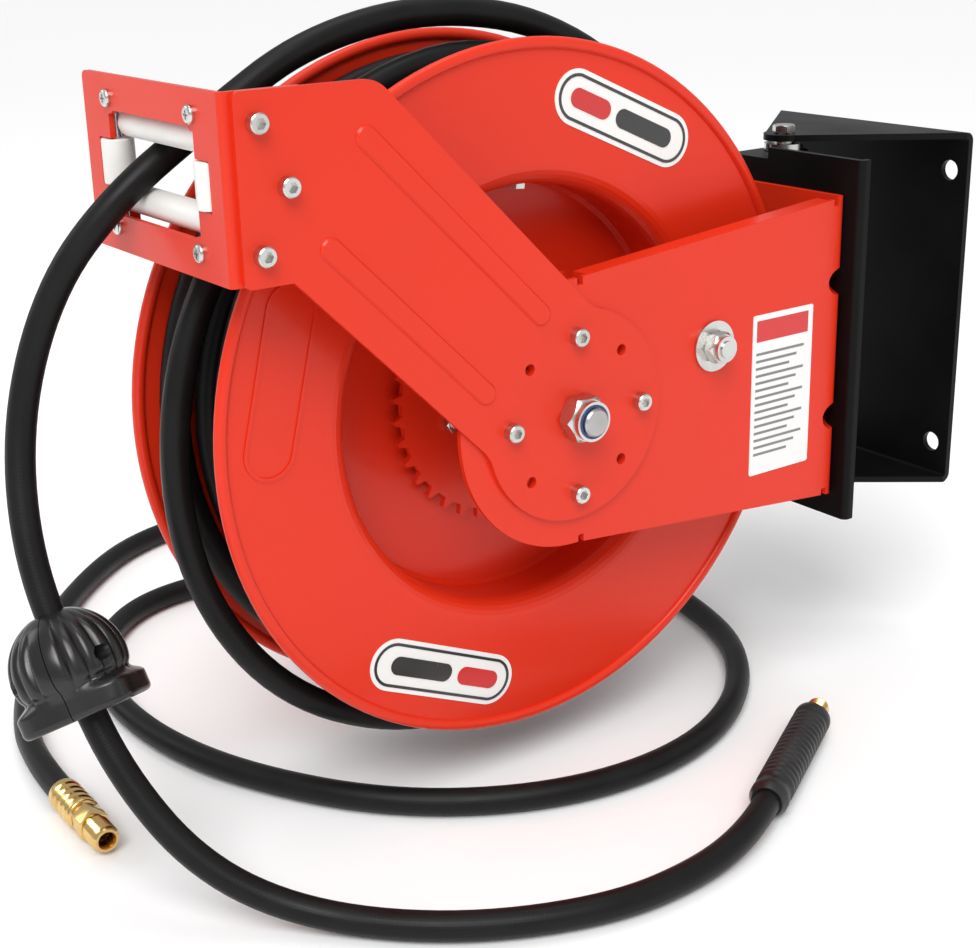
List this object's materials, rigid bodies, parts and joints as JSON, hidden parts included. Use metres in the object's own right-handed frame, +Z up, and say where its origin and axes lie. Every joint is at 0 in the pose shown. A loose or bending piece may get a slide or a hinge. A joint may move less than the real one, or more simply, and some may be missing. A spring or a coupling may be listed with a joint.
{
  "type": "hose reel",
  "caption": "Spring-rewind hose reel: drum in a folded frame with a roller guide arm, ratchet, hose with stopper and grip, feed hose, and a wall bracket that swivels.",
  "frame": {"origin": "Centre of the four wall holes, on the back face of the wall plate", "axes": "+X into the wall, +Y away from the guide arm's side, +Z up"},
  "size_m": [0.6396, 0.6669, 0.4528],
  "materials": {
    "black_paint": "satin black powder coat",
    "red_paint": "gloss red powder coat",
    "zinc": "bright zinc plate",
    "brass": "machined brass",
    "roller": "white plastic",
    "bush": "natural plastic bearing",
    "steel": "plain steel",
    "spring": "blued spring steel",
    "hose": "black hose",
    "stopper": "black moulded plastic",
    "badge": "blank badge",
    "label": "blank label"
  },
  "bodies": {
    "wall": {"wall_bracket": "black_paint", "pivot_bolts": "zinc", "pivot_washers": "zinc", "pivot_nuts": "zinc"},
    "frame": {"swivel_channel": "black_paint", "reel_frame": "red_paint", "frame_bolts": "zinc", "guide_arm": "red_paint", "arm_screws": "zinc", "arm_nuts": "zinc", "head_screws": "zinc", "head_nuts": "zinc", "roller_bracket": "red_paint", "roller_cage": "red_paint", "roller_pins": "steel", "cage_screws": "zinc", "axle": "steel", "axle_nut": "zinc", "axle_far_nut": "zinc", "axle_spacers": "zinc", "spring_arbor": "steel", "inlet_elbow": "brass", "inlet_ferrule": "brass", "pawl_pin": "zinc", "pawl_sleeve": "zinc", "pawl_nut": "zinc", "info_label": "label", "hose_free": "hose", "stopper_near": "stopper", "stopper_far": "stopper", "stopper_screws": "zinc", "hose_grip": "hose", "hose_fitting": "brass", "feed_hose": "hose", "feed_fitting": "brass"},
    "drum": {"flange_near": "red_paint", "flange_far": "red_paint", "flange_badges": "badge", "barrel": "red_paint", "barrel_bolts": "zinc", "hub_tube": "steel", "hub_bush": "bush", "cover_bush": "bush", "swivel_body": "brass", "swivel_seals": "hose", "outlet_tube": "brass", "ratchet_wheel": "red_paint", "ratchet_bolts": "zinc", "spring_case": "red_paint", "spring_cover": "red_paint", "cover_screws": "zinc", "power_spring": "spring", "hose_coil": "hose"},
    "pawl": {"pawl": "zinc"},
    "roller_top": {"roller_top": "roller"},
    "roller_bottom": {"roller_bottom": "roller"},
    "roller_near": {"roller_near": "roller"},
    "roller_far": {"roller_far": "roller"}
  },
  "joints": [
    {"name": "bracket_swivel", "type": "hinge", "parent": "wall", "child": "frame", "pos_m": [-0.087, 0, 0], "axis": [0, 0, 1], "range_deg": [-60, 60]},
    {"name": "drum_spin", "type": "hinge", "parent": "frame", "child": "drum", "pos_m": [-0.332, 0, -0.003], "axis": [0, -1, 0], "range_deg": [0, 4320], "stiffness_Nm_per_rad": 0.03},
    {"name": "pawl_pivot", "type": "hinge", "parent": "frame", "child": "pawl", "pos_m": [-0.228, 0, 0.018], "axis": [0, 1, 0], "range_deg": [0, 21]},
    {"name": "roller_top_spin", "type": "hinge", "parent": "frame", "child": "roller_top", "pos_m": [-0.5229, -0.0113, 0.163], "axis": [0, 1, 0], "continuous": true},
    {"name": "roller_bottom_spin", "type": "hinge", "parent": "frame", "child": "roller_bottom", "pos_m": [-0.5229, -0.0113, 0.124], "axis": [0, 1, 0], "continuous": true},
    {"name": "roller_near_spin", "type": "hinge", "parent": "frame", "child": "roller_near", "pos_m": [-0.5285, -0.0636, 0.1435], "axis": [0, 0, 1], "continuous": true},
    {"name": "roller_far_spin", "type": "hinge", "parent": "frame", "child": "roller_far", "pos_m": [-0.5285, 0.041, 0.1435], "axis": [0, 0, 1], "continuous": true}
  ]
}
